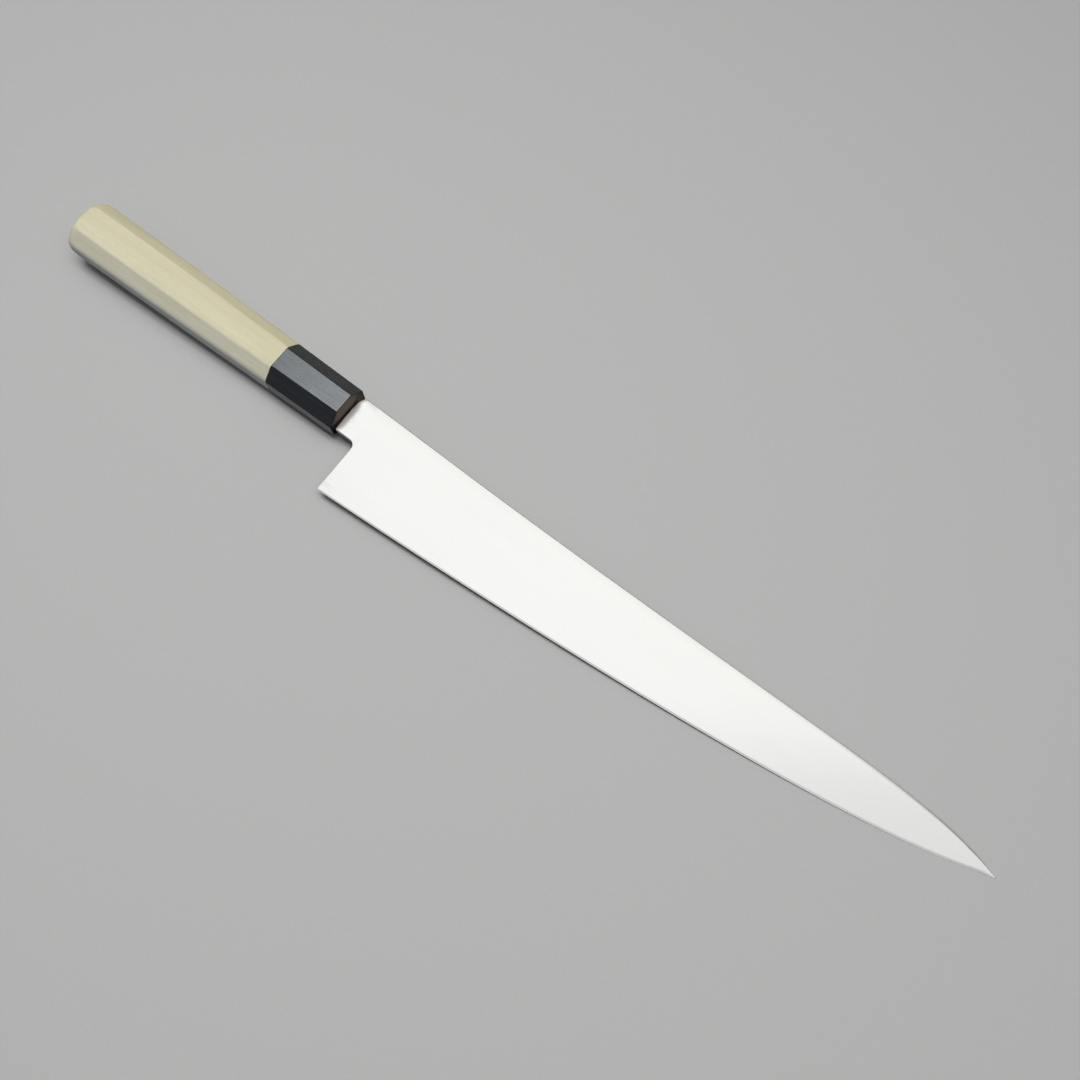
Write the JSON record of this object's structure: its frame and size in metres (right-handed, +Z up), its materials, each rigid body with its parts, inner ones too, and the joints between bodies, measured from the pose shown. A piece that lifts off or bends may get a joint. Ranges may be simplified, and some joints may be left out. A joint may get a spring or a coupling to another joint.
{
  "type": "sujihiki knife",
  "caption": "Long slim double-bevel slicing knife with a straight-backed steel blade, hidden tang, black horn ferrule and octagonal pale wooden handle, lying on its side.",
  "frame": {"origin": "on the table plane, below the middle of the knife's box as it lies on its side", "axes": "+X along the knife from the butt to the tip, +Y towards the spine, +Z up from the table"},
  "size_m": [0.462, 0.0464, 0.025],
  "materials": {
    "steel": "satin, polished lengthways",
    "horn": "polished black buffalo horn",
    "wood": "bare sanded magnolia, fine straight grain",
    "adhesive": "cured dark adhesive"
  },
  "bodies": {
    "root": {"blade": "steel", "ferrule": "horn", "handle_body": "wood", "tang_bedding": "adhesive"}
  },
  "joints": []
}
